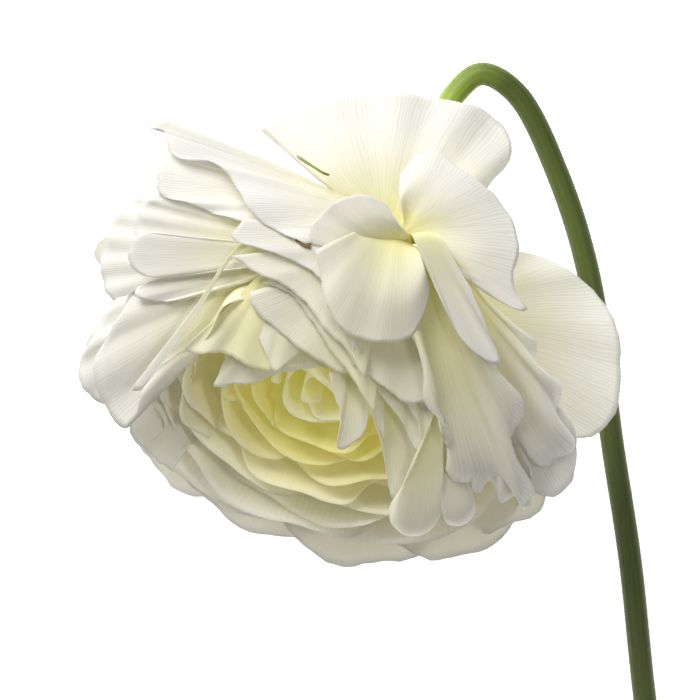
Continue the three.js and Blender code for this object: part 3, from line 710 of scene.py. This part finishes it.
def vein_lines(tree, place, shuffled):
    """Lines along the petal that waver and grow twice as many toward the rim, some fainter than others."""
    drawn_out = math_node(tree, "MULTIPLY", place[1], 0.3)
    spread = add_node(tree, "ShaderNodeCombineXYZ", X=place[0], Y=drawn_out, Z=shuffled)
    forked = add_node(tree, "ShaderNodeMix", data_type="FLOAT")
    tree.links.new(place[1], forked.inputs[MIX_FACTOR])
    for scale, socket in zip((12.0, 24.0), forked.inputs[MIX_NUMBERS]):
        lines = add_node(tree, "ShaderNodeTexWave", Vector=spread.outputs[0], Scale=scale,
                         Distortion=10.0, Detail=2.0, Detail_Scale=0.5)
        tree.links.new(lines.outputs[1], socket)
    noise = streaks(tree, place, shuffled, across=60.0, along=3.0, detail=2.0)
    return math_node(tree, "MULTIPLY", math_node(tree, "ADD", forked.outputs[0], noise), 0.5)


def new_material(name):
    """A material, its empty node tree and the surface of its output."""
    material = bpy.data.materials.new(name)
    material.use_nodes = True
    tree = material.node_tree
    tree.nodes.clear()
    return material, tree, tree.nodes.new("ShaderNodeOutputMaterial").inputs["Surface"]


def petal_material(name, stops, translucency, veining, yellowing, painted_glow_share):
    """Thin petal: colour from its claw to its rim and fine veins that spread from the claw. In the depths
    of the bloom it has a painted glow, a faint emission in place of the light that many thin petals pass on."""
    material, tree, surface = new_material(name)
    place = map_values(tree, "petal")
    tone, number = map_values(tree, "facts")

    # a petal nearer the heart keeps more of its claw's colour: partly its own yellower base, partly painted
    # light for the yellow that light takes on through many petals
    kept = math_node(tree, "SUBTRACT", 1.0, math_node(tree, "MULTIPLY", tone, yellowing))
    along = math_node(tree, "MULTIPLY", place[1], kept)
    shuffled = math_node(tree, "MULTIPLY", number, VEIN_SHUFFLE)
    veins = vein_lines(tree, place, shuffled)
    folds = streaks(tree, place, shuffled, across=9.0, along=1.6, detail=1.0)
    vein_tint = ramp_color(tree, veins, VEIN_STOPS)
    color = multiply_colors(tree, ramp_color(tree, along, stops), vein_tint, veining)

    soft = add_node(tree, "ShaderNodeBump", Strength=0.15, Distance=0.001, Height=folds)
    bump = add_node(tree, "ShaderNodeBump", Strength=0.35 * veining, Distance=0.00015, Height=veins,
                    Normal=soft.outputs[0])
    # painted light: the corner's tone sets a faint emission that stands in for light passed on through the
    # petals
    painted_emission = math_node(tree, "MULTIPLY", math_node(tree, "MAXIMUM", tone, 0.0), painted_glow_share)
    skin = add_node(
        tree, "ShaderNodeBsdfPrincipled", Base_Color=color, Roughness=0.62, Specular_IOR_Level=0.22,
        Emission_Color=color, Emission_Strength=painted_emission, Normal=bump.outputs[0],
    )
    through = multiply_colors(tree, color, THROUGH_PETAL)
    back = add_node(tree, "ShaderNodeBsdfTranslucent", Color=through, Normal=bump.outputs[0])
    mixed = tree.nodes.new("ShaderNodeMixShader")
    for value, socket in zip((translucency, skin.outputs[0], back.outputs[0]), mixed.inputs):
        feed(tree, value, socket)
    tree.links.new(mixed.outputs[0], surface)
    return material


def white_stops():
    settings = bpy.context.scene.ranunculus_bloom
    return (0.0, settings.claw_color), *WHITE_STOPS, (1.0, settings.rim_color)


def petal_white():
    material = bpy.data.materials.get("white_petal")
    return material or petal_material(
        "white_petal", white_stops(), translucency=0.32, veining=0.8, yellowing=0.6, painted_glow_share=0.06)


def rosette_white():
    """The rosette's petals, whose veins hardly show and whose painted glow is stronger, to lighten its
    shaded cups.
    """
    material = bpy.data.materials.get("rosette_petal")
    return material or petal_material(
        "rosette_petal", white_stops(), translucency=0.4, veining=0.25, yellowing=0.75, painted_glow_share=0.11)


def heart_green():
    stops = (
        (0.0, (0.36, 0.46, 0.03)),
        (0.3, bpy.context.scene.ranunculus_bloom.heart_color),
        (0.6, (0.87, 0.84, 0.32)),
        (0.86, (0.93, 0.91, 0.58)),
        (1.0, (0.95, 0.94, 0.8)),
    )
    return petal_material(
        "heart_petal", stops, translucency=0.35, veining=0.5, yellowing=0.0, painted_glow_share=0.15)


def plain_material(name, color, roughness, glow=0.0):
    material, tree, surface = new_material(name)
    skin = add_node(tree, "ShaderNodeBsdfPrincipled", Base_Color=(*color, 1), Roughness=roughness,
                    Emission_Color=(1, 1, 1, 1), Emission_Strength=glow)
    tree.links.new(skin.outputs[0], surface)
    return material


def green_material(name, stops, roughness):
    """Green skin: colour from one end to the other, with fine ribs along it."""
    material, tree, surface = new_material(name)
    place = map_values(tree, "petal")
    ribs = streaks(tree, place, place[0], across=14.0, along=6.0, detail=3.0)
    rib_tint = ramp_color(tree, ribs, RIB_STOPS)
    color = multiply_colors(tree, ramp_color(tree, place[1], stops), rib_tint)
    bump = add_node(tree, "ShaderNodeBump", Strength=0.4, Distance=0.0002, Height=ribs)
    skin = add_node(tree, "ShaderNodeBsdfPrincipled", Base_Color=color, Roughness=roughness,
                    Specular_IOR_Level=0.3, Normal=bump.outputs[0])
    tree.links.new(skin.outputs[0], surface)
    return material


def stem_material():
    settings = bpy.context.scene.ranunculus_stem
    stops = (
        (0.0, (0.50, 0.66, 0.14)),
        (0.175, settings.hook_color),
        (0.22, (0.28, 0.38, 0.06)),
        (0.27, (0.072, 0.102, 0.018)),
        (0.5, settings.shaft_color),
        (0.8, (0.125, 0.15, 0.048)),
    )
    return bpy.data.materials.get("stem_skin") or green_material("stem_skin", stops, roughness=0.5)


def sepal_material():
    settings = bpy.context.scene.ranunculus_stem
    stops = ((0.0, (0.30, 0.38, 0.08)), (0.6, settings.sepal_color), (1.0, (0.46, 0.50, 0.24)))
    return bpy.data.materials.get("sepal_skin") or green_material("sepal_skin", stops, roughness=0.6)


def rosette_petal(q, count, heart):
    """A petal of the rosette from its place q between the middle and the outside, or None in the hood."""
    angle = ROSETTE_START_ANGLE + count * GOLDEN_ANGLE
    half_angle = math.radians(HOOD_HALF_ANGLE + HOOD_WIDENING * q)
    if q > HOOD_START and math.cos(math.radians(angle) - SAG_ANGLE) > math.cos(half_angle):
        return None
    width = 0.66 + 0.08 * math.sin(count * 3.7)
    return nested_cup(q, count, angle, width, heart)


def nested_cup(q, count, angle, width, heart=False):
    """One cup of the rosette. Its count sets how its size and its waves differ from its neighbours'."""
    radius = ROSETTE_INNER_RADIUS + ROSETTE_SPAN * q**0.9 + (0 if heart else HEART_GAP)
    radius = radius * (1 + 0.035 * math.sin(count * 4.7))
    swell = 5 * math.sin(q * math.pi * 0.62)
    fall = 4 * q**3
    height = ROSETTE_HEIGHT + swell - fall + 1.1 * q * math.sin(count * 2.9)
    root = (0.9 + 0.1 * radius, 9) if heart else (0.45 * radius, 6)
    return whorl_petal(
        angle,
        profile=(
            root,
            (0.62 * radius + 1.2, 0.3 * height + 3),
            ((1.04 - 0.14 * q) * radius, 0.68 * height),
            ((0.95 + 0.07 * q) * radius, height),
        ),
        half_width=width * radius + 5,
        notch=0.015,
        ruffle=0.4 + 1.9 * q * (1 + 0.5 * math.sin(count * 1.9)),
        waves=2.6 + 0.9 * math.sin(count),
        phase=count * 1.3,
        crinkle=0.15 + 0.35 * q,
    )


class BloomSettings(bpy.types.PropertyGroup):
    petal_thickness: bpy.props.FloatProperty(
        name="Petal thickness", description="Thickness of a petal away from its rim",
        default=0.00032, min=0.0001, max=0.0006, precision=5, unit="LENGTH")
    rim_share: bpy.props.FloatProperty(
        name="Rim's share", description="Thickness of a petal's rim as a share of its own",
        default=0.4, min=0.1, max=1, subtype="FACTOR")
    rosette_count: bpy.props.IntProperty(
        name="Rosette petals", description="How many petals the spiral has, with the heart's",
        default=40, min=12, max=80)
    claw_color: bpy.props.FloatVectorProperty(
        name="Claw colour", description="Colour of a white petal at its claw",
        default=(0.62, 0.70, 0.13), min=0, max=1, subtype="COLOR")
    rim_color: bpy.props.FloatVectorProperty(
        name="Rim colour", description="Colour of a white petal at its rim",
        default=(0.95, 0.946, 0.925), min=0, max=1, subtype="COLOR")
    heart_color: bpy.props.FloatVectorProperty(
        name="Heart colour", description="Colour of the heart's petals above their claws",
        default=(0.74, 0.75, 0.12), min=0, max=1, subtype="COLOR")


class StemSettings(bpy.types.PropertyGroup):
    sides: bpy.props.IntProperty(
        name="Sides", description="Faces round the stem", default=32, min=8, max=64)
    steps: bpy.props.IntProperty(
        name="Steps", description="Rings along the stem", default=260, min=40, max=600)
    hair_density: bpy.props.FloatProperty(
        name="Hair density", description="Hairs on a square metre of the stem's skin",
        default=2000000, min=0)
    hair_length: bpy.props.FloatProperty(
        name="Hair length", description="Length of the longest hairs",
        default=0.0007, min=0.0001, max=0.002, precision=5, unit="LENGTH")
    sepal_thickness: bpy.props.FloatProperty(
        name="Sepal thickness", description="Thickness of a sepal away from its rim",
        default=0.0005, min=0.0002, max=0.0009, precision=5, unit="LENGTH")
    hook_color: bpy.props.FloatVectorProperty(
        name="Hook colour", description="Colour of the stem in its bend behind the bloom",
        default=(0.62, 0.80, 0.17), min=0, max=1, subtype="COLOR")
    shaft_color: bpy.props.FloatVectorProperty(
        name="Shaft colour", description="Colour of the stem halfway down",
        default=(0.082, 0.108, 0.022), min=0, max=1, subtype="COLOR")
    sepal_color: bpy.props.FloatVectorProperty(
        name="Sepal colour", description="Colour of the sepals and of the green sliver",
        default=(0.34, 0.42, 0.13), min=0, max=1, subtype="COLOR")


class StageSettings(bpy.types.PropertyGroup):
    camera_distance: bpy.props.FloatProperty(
        name="Camera distance", description="From the camera to the plane that the view's width is for",
        default=1.0, min=0.3, max=3, unit="LENGTH")
    view_width: bpy.props.FloatProperty(
        name="View width", description="Width of the picture in that plane",
        default=0.14, min=0.05, max=0.5, unit="LENGTH")
    view_height: bpy.props.FloatProperty(
        name="Plane's height", description="Height of that plane over the table",
        default=0.045, min=0, max=0.2, unit="LENGTH")
    floor_color: bpy.props.FloatVectorProperty(
        name="Floor colour", description="Colour of the floor",
        default=(0.93, 0.93, 0.92), min=0, max=1, subtype="COLOR")
    floor_glow: bpy.props.FloatProperty(
        name="Floor glow", description="Strength of the light that the floor gives",
        default=1.0, min=0)
    key_power: bpy.props.FloatProperty(
        name="Key light", description="Power of the large lamp",
        default=12.7, min=0, unit="POWER")
    rosette_power: bpy.props.FloatProperty(
        name="Rosette spot", description="Power of the spot on the left of the rosette",
        default=8, min=0, unit="POWER")
    guard_power: bpy.props.FloatProperty(
        name="Guard spot", description="Power of the spot on the guard petal at the right",
        default=12, min=0, unit="POWER")
    heart_power: bpy.props.FloatProperty(
        name="Heart light", description="Power of the lamp that shines into the bloom along its axis",
        default=0.3, min=0, unit="POWER")
    fill: bpy.props.FloatProperty(
        name="Fill light", description="Strength of the light from all sides",
        default=0.14, min=0)


class RANUNCULUS_OT_rosette(bpy.types.Operator):
    """Builds the nested petals of the rosette"""

    bl_idname = "ranunculus.rosette"
    bl_label = "Rosette"

    def execute(self, context):
        total = context.scene.ranunculus_bloom.rosette_count
        surfaces, tones = [], []
        for count in range(total):
            q = (count + 0.5) / total
            if q < HEART_END:
                continue
            surface = rosette_petal(q, count, heart=False)
            if surface is not None:
                surfaces.append(surface)
                tones.append(ROSETTE_TONE * (1 - q))
        for count, (angle, q) in enumerate(LEFT_CUPS):
            surfaces.append(nested_cup(q, count, angle, LEFT_CUP_WIDTH))
            tones.append(ROSETTE_TONE * (1 - q))
        piece = mesh_object("rosette_petals", shells(surfaces), rosette_white(), tones)
        finish_piece(piece, "petal", "petals")
        return {"FINISHED"}


class RANUNCULUS_OT_heart(bpy.types.Operator):
    """Builds the tight yellow-green petals in the middle"""

    bl_idname = "ranunculus.heart"
    bl_label = "Heart"

    def execute(self, context):
        total = context.scene.ranunculus_bloom.rosette_count
        counts = [count for count in range(total) if (count + 0.5) / total < HEART_END]
        surfaces = [rosette_petal((count + 0.5) / total, count, heart=True) for count in counts]
        piece = mesh_object("heart_petals", shells(surfaces), heart_green())
        finish_piece(piece, "heart", "heart")
        return {"FINISHED"}


class RANUNCULUS_OT_outer_whorls(bpy.types.Operator):
    """Builds the cup whorl and the guard petals under it"""

    bl_idname = "ranunculus.outer_whorls"
    bl_label = "Outer whorls"

    def execute(self, context):
        surfaces = []
        for count, angle in enumerate(CUP_ANGLES):
            height = CUP_HEIGHT + 0.8 * math.cos(count * 1.9)
            profile = (
                (16, 6),
                (0.62 * CUP_RADIUS, 0.3 * height),
                (0.9 * CUP_RADIUS, 0.62 * height),
                (CUP_RADIUS, height),
            )
            sway = 3 * math.sin(count * 2.1 + 0.3)
            surfaces.append(whorl_petal(
                angle + sway, profile,
                half_width=18, rounding=0.22, claw=0.4, ruffle=0.8, lap=0.9, waves=2.5, phase=count * 2,
            ))
        for count, guard in enumerate(GUARDS):
            shape = dict(rounding=0.3, claw=0.1, lap=1.1, ruffle=0.9, waves=2, phase=count * 1.1)
            surfaces.append(whorl_petal(**{**shape, **guard}))
        piece = mesh_object("outer_petals", shells(surfaces), rosette_white())
        finish_piece(piece, "petal", "petals")
        return {"FINISHED"}


class RANUNCULUS_OT_loose_petals(bpy.types.Operator):
    """Builds the petals opened back behind the bloom, those that flop over it and those that hang"""

    bl_idname = "ranunculus.loose_petals"
    bl_label = "Loose petals"

    def execute(self, context):
        surfaces, tones = [], []
        for count, petal in enumerate(LOOSE_PETALS.values()):
            shape = {"root": THROAT, "phase": 1.7 * count, **petal}
            tones.append(shape.pop("tone", 0.0))
            surfaces.append(loose_petal(**shape))
        piece = mesh_object("loose_petals", shells(surfaces), petal_white(), tones)
        finish_piece(piece, "petal", "petals")
        return {"FINISHED"}


class RANUNCULUS_OT_small_marks(bpy.types.Operator):
    """Builds the green sliver on the upper fan and the withered tip at its lower corner"""

    bl_idname = "ranunculus.small_marks"
    bl_label = "Green sliver and withered tip"

    def execute(self, context):
        sliver = loose_petal((-4.2, 34.6, 57), (-5.4, 35, 58.4), SLIVER_RIM, arch=-0.3, claw=0.22,
                             ruffle=0, crinkle=0, rows=16, columns=6)
        blade = petal_shell(sliver, thickness=0.4, rim_share=0.6)
        piece = mesh_object("green_sliver", [blade], sepal_material())
        finish_piece(piece, "stem", "petals")
        tip = loose_petal((-10.6, 21.8, 61.6), (-9.6, 21, 62.1), TIP_RIM, arch=0.1, claw=0.3,
                          ruffle=0.1, crinkle=0, rows=12, columns=8)
        blade = petal_shell(tip, thickness=0.45, rim_share=0.6)
        piece = mesh_object("withered_tip", [blade], plain_material("withered", WITHERED, 0.8))
        finish_piece(piece, "petal", "petals")
        return {"FINISHED"}


class RANUNCULUS_OT_receptacle(bpy.types.Operator):
    """Builds the disc that the petals grow from and the bundle of claws up to the throat"""

    bl_idname = "ranunculus.receptacle"
    bl_label = "Receptacle and claws"

    def execute(self, context):
        disc = closed_tube(turned_rings(RECEPTACLE_PROFILE, RECEPTACLE_SIDES))
        # its high tone makes it yellow and gives it a painted glow
        piece = mesh_object("receptacle", [disc], petal_white(), [0.8])
        finish_piece(piece, "petal", "petals")
        claws = []
        for count in range(CLAW_COUNT):
            turn = count * math.radians(GOLDEN_ANGLE)
            reach = CLAW_SPREAD * math.sqrt((count + 0.5) / CLAW_COUNT)
            shift = reach * (math.cos(turn) * RIGHT + math.sin(turn) * UPPER)
            middle = (CLAW_ROOT + CLAW_BEND) / 2 + shift
            throat = np.array(THROAT) + 0.6 * shift
            rim = [throat + offset * RIGHT for offset in (-1.6, 0, 1.6)]
            claw = loose_petal(CLAW_ROOT + shift, middle, rim, arch=-1, claw=1.6, ruffle=0, crinkle=0,
                               rows=12, columns=8)
            claws.append(petal_shell(claw, thickness=1.0, rim_share=1.0))
        # their high tone makes them yellow and gives them a painted glow
        piece = mesh_object("claws", claws, petal_white(), [0.9] * CLAW_COUNT)
        finish_piece(piece, "petal", "petals")
        return {"FINISHED"}


class RANUNCULUS_OT_stem(bpy.types.Operator):
    """Builds the stem and its hairs"""

    bl_idname = "ranunculus.stem"
    bl_label = "Stem"

    def execute(self, context):
        settings = context.scene.ranunculus_stem
        line = even_curve(STEM_ROUTE, settings.steps)
        forward = unit(np.gradient(line, axis=0))
        side = unit(np.cross(forward[0], TABLE_NORMAL))
        rings = []
        for point, ahead in zip(line, forward):
            side = unit(side - np.dot(side, ahead) * ahead)
            rings.append(circle(point, side, np.cross(ahead, side), STEM_RADIUS, settings.sides))
        shaft = mesh_object("stem_shaft", [closed_tube(np.array(rings))], stem_material())
        finish_piece(shaft, "stem", "stem")

        hairs = grown_hairs(shaft, settings.hair_density, settings.hair_length)
        finish_piece(hairs, "stem", "stem")
        return {"FINISHED"}


class RANUNCULUS_OT_calyx(bpy.types.Operator):
    """Builds the calyx at the top of the stem and its sepals"""

    bl_idname = "ranunculus.calyx"
    bl_label = "Calyx and sepals"

    def execute(self, context):
        thickness = context.scene.ranunculus_stem.sepal_thickness / MM
        calyx = closed_tube(turned_rings(CALYX_PROFILE, CALYX_SIDES))
        piece = mesh_object("calyx", [calyx], sepal_material())
        finish_piece(piece, "stem", "stem")
        sepals = []
        for count in range(SEPAL_COUNT):
            surface = whorl_petal(
                SEPAL_START_ANGLE + count * 360 / SEPAL_COUNT, SEPAL_PROFILE,
                half_width=3.6, rounding=0.5, claw=0.5, ruffle=0.2, phase=count * 1.9, crinkle=0.1,
            )
            sepals.append(petal_shell(surface, thickness, rim_share=0.6))
        piece = mesh_object("sepals", sepals, sepal_material())
        finish_piece(piece, "stem", "stem")
        return {"FINISHED"}


def grown_hairs(body, density, length):
    """Short hairs on the sides and top of a body, grown by a node tree and kept as a plain mesh."""
    tree = bpy.data.node_groups.new("stem_hairs", "GeometryNodeTree")
    tree.interface.new_socket("Geometry", in_out="INPUT", socket_type="NodeSocketGeometry")
    own_values = {}
    for name, kind, value in (
        ("Density", "NodeSocketFloat", density),
        ("Length", "NodeSocketFloat", length),
        ("Radius", "NodeSocketFloat", length / HAIR_SLIMNESS),
        ("Seed", "NodeSocketInt", HAIR_SEED),
    ):
        socket = tree.interface.new_socket(name, in_out="INPUT", socket_type=kind)
        own_values[socket.identifier] = value
    tree.interface.new_socket("Geometry", in_out="OUTPUT", socket_type="NodeSocketGeometry")

    source = tree.nodes.new("NodeGroupInput").outputs
    normal = tree.nodes.new("GeometryNodeInputNormal")
    parts = add_node(tree, "ShaderNodeSeparateXYZ", Vector=normal.outputs[0])
    clear_of_table = add_node(tree, "FunctionNodeCompare", data_type="FLOAT", operation="GREATER_THAN")
    feed(tree, parts.outputs["Z"], clear_of_table.inputs[0])
    feed(tree, HAIR_LOWEST_NORMAL, clear_of_table.inputs[1])
    scatter = add_node(
        tree, "GeometryNodeDistributePointsOnFaces", Mesh=source["Geometry"],
        Selection=clear_of_table.outputs[0], Density=source["Density"], Seed=source["Seed"],
    )
    hair = add_node(tree, "GeometryNodeMeshCone", Vertices=3, Radius_Top=0.0,
                    Radius_Bottom=source["Radius"], Depth=source["Length"])

    # a Random Value node has its limits for vectors first and then those for numbers
    lean = add_node(tree, "FunctionNodeRandomValue", data_type="FLOAT_VECTOR")
    lean.inputs[0].default_value = (-HAIR_LEAN, -HAIR_LEAN, 0.0)
    lean.inputs[1].default_value = (HAIR_LEAN, HAIR_LEAN, 0.0)
    size = add_node(tree, "FunctionNodeRandomValue", data_type="FLOAT")
    size.inputs[2].default_value = HAIR_SHORTEST
    size.inputs[3].default_value = 1.0

    turned = add_node(tree, "FunctionNodeRotateRotation", rotation_space="LOCAL")
    feed(tree, scatter.outputs["Rotation"], turned.inputs[0])
    feed(tree, lean.outputs[0], turned.inputs[1])
    placed = add_node(
        tree, "GeometryNodeInstanceOnPoints", Points=scatter.outputs["Points"],
        Instance=hair.outputs["Mesh"], Rotation=turned.outputs[0], Scale=size.outputs[1],
    )
    realized = add_node(tree, "GeometryNodeRealizeInstances", Geometry=placed.outputs[0])
    painted = add_node(tree, "GeometryNodeSetMaterial", Geometry=realized.outputs[0],
                       Material=stem_material())
    tree.links.new(painted.outputs[0], tree.nodes.new("NodeGroupOutput").inputs[0])

    modifier = body.modifiers.new("hairs", "NODES")
    modifier.node_group = tree
    for identifier, value in own_values.items():
        modifier[identifier] = value
    evaluated = body.evaluated_get(bpy.context.evaluated_depsgraph_get())
    mesh = bpy.data.meshes.new_from_object(evaluated)
    body.modifiers.remove(modifier)
    mesh.name = "stem_hairs"
    return linked_object("stem_hairs", mesh)


def light(name, power, target, offset, size, cone=None):
    """A square lamp aimed at the target or, with a cone in degrees, a round spot of that spread."""
    data = bpy.data.lights.new(name, "SPOT" if cone else "AREA")
    if cone:
        data.shadow_soft_size = size / 2
        data.spot_size = math.radians(cone)
        data.spot_blend = 1.0
    else:
        data.size = size
    data.energy = power
    lamp = linked_object(name, data)
    lamp.location = Vector((np.array(target) - ORIGIN) * MM) + Vector(offset)
    lamp.rotation_euler = (-Vector(offset)).to_track_quat("-Z", "Y").to_euler()


class RANUNCULUS_OT_stage(bpy.types.Operator):
    """Builds the floor, the lights and the camera"""

    bl_idname = "ranunculus.stage"
    bl_label = "Studio"

    def execute(self, context):
        settings = context.scene.ranunculus_stage
        mesh = bpy.data.meshes.new("floor")
        signs = ((-1, -1), (1, -1), (1, 1), (-1, 1))
        mesh.from_pydata([(FLOOR_REACH * x, FLOOR_REACH * y, 0) for x, y in signs], [], [(0, 1, 2, 3)])
        mesh.materials.append(plain_material("floor", settings.floor_color, 0.6, settings.floor_glow))
        floor = linked_object("floor", mesh)

        world = bpy.data.worlds.new("studio")
        world.use_nodes = True
        background = world.node_tree.nodes["Background"]
        background.inputs["Color"].default_value = (1, 1, 1, 1)
        background.inputs["Strength"].default_value = settings.fill
        context.scene.world = world
        powers = dict(
            key=settings.key_power,
            rosette=settings.rosette_power,
            guard=settings.guard_power,
            heart=settings.heart_power,
        )
        for name, power in powers.items():
            light(name, power, **LAMPS[name])

        data = bpy.data.cameras.new("camera")
        data.sensor_width = SENSOR_WIDTH
        data.lens = SENSOR_WIDTH * settings.camera_distance / settings.view_width
        camera = linked_object("camera", data)
        camera.location = Vector(-ORIGIN * MM)
        camera.location.z += settings.view_height + settings.camera_distance
        context.scene.camera = camera
        context.scene.view_settings.view_transform = "Standard"
        return {"FINISHED"}


class RANUNCULUS_PT_panel(bpy.types.Panel):
    """Lists the flower's settings and the operators that build it"""

    bl_label = "Ranunculus"
    bl_idname = "RANUNCULUS_PT_panel"
    bl_space_type = "VIEW_3D"
    bl_region_type = "UI"
    bl_category = "Ranunculus"

    def draw(self, context):
        scene = context.scene
        for settings in (scene.ranunculus_bloom, scene.ranunculus_stem, scene.ranunculus_stage):
            for name in settings.__annotations__:
                self.layout.prop(settings, name)
        for operator in OPERATORS:
            self.layout.operator(operator.bl_idname)


OPERATORS = (
    RANUNCULUS_OT_rosette,
    RANUNCULUS_OT_heart,
    RANUNCULUS_OT_outer_whorls,
    RANUNCULUS_OT_loose_petals,
    RANUNCULUS_OT_small_marks,
    RANUNCULUS_OT_receptacle,
    RANUNCULUS_OT_stem,
    RANUNCULUS_OT_calyx,
    RANUNCULUS_OT_stage,
)
CLASSES = (BloomSettings, StemSettings, StageSettings, *OPERATORS, RANUNCULUS_PT_panel)


def register():
    for item in CLASSES:
        bpy.utils.register_class(item)
    bpy.types.Scene.ranunculus_bloom = bpy.props.PointerProperty(type=BloomSettings)
    bpy.types.Scene.ranunculus_stem = bpy.props.PointerProperty(type=StemSettings)
    bpy.types.Scene.ranunculus_stage = bpy.props.PointerProperty(type=StageSettings)


def unregister():
    del bpy.types.Scene.ranunculus_stage
    del bpy.types.Scene.ranunculus_stem
    del bpy.types.Scene.ranunculus_bloom
    for item in reversed(CLASSES):
        bpy.utils.unregister_class(item)


def main():
    register()
    bpy.ops.ranunculus.rosette()
    bpy.ops.ranunculus.heart()
    bpy.ops.ranunculus.outer_whorls()
    bpy.ops.ranunculus.loose_petals()
    bpy.ops.ranunculus.small_marks()
    bpy.ops.ranunculus.receptacle()
    bpy.ops.ranunculus.stem()
    bpy.ops.ranunculus.calyx()
    bpy.ops.ranunculus.stage()


if __name__ == "__main__":
    main()
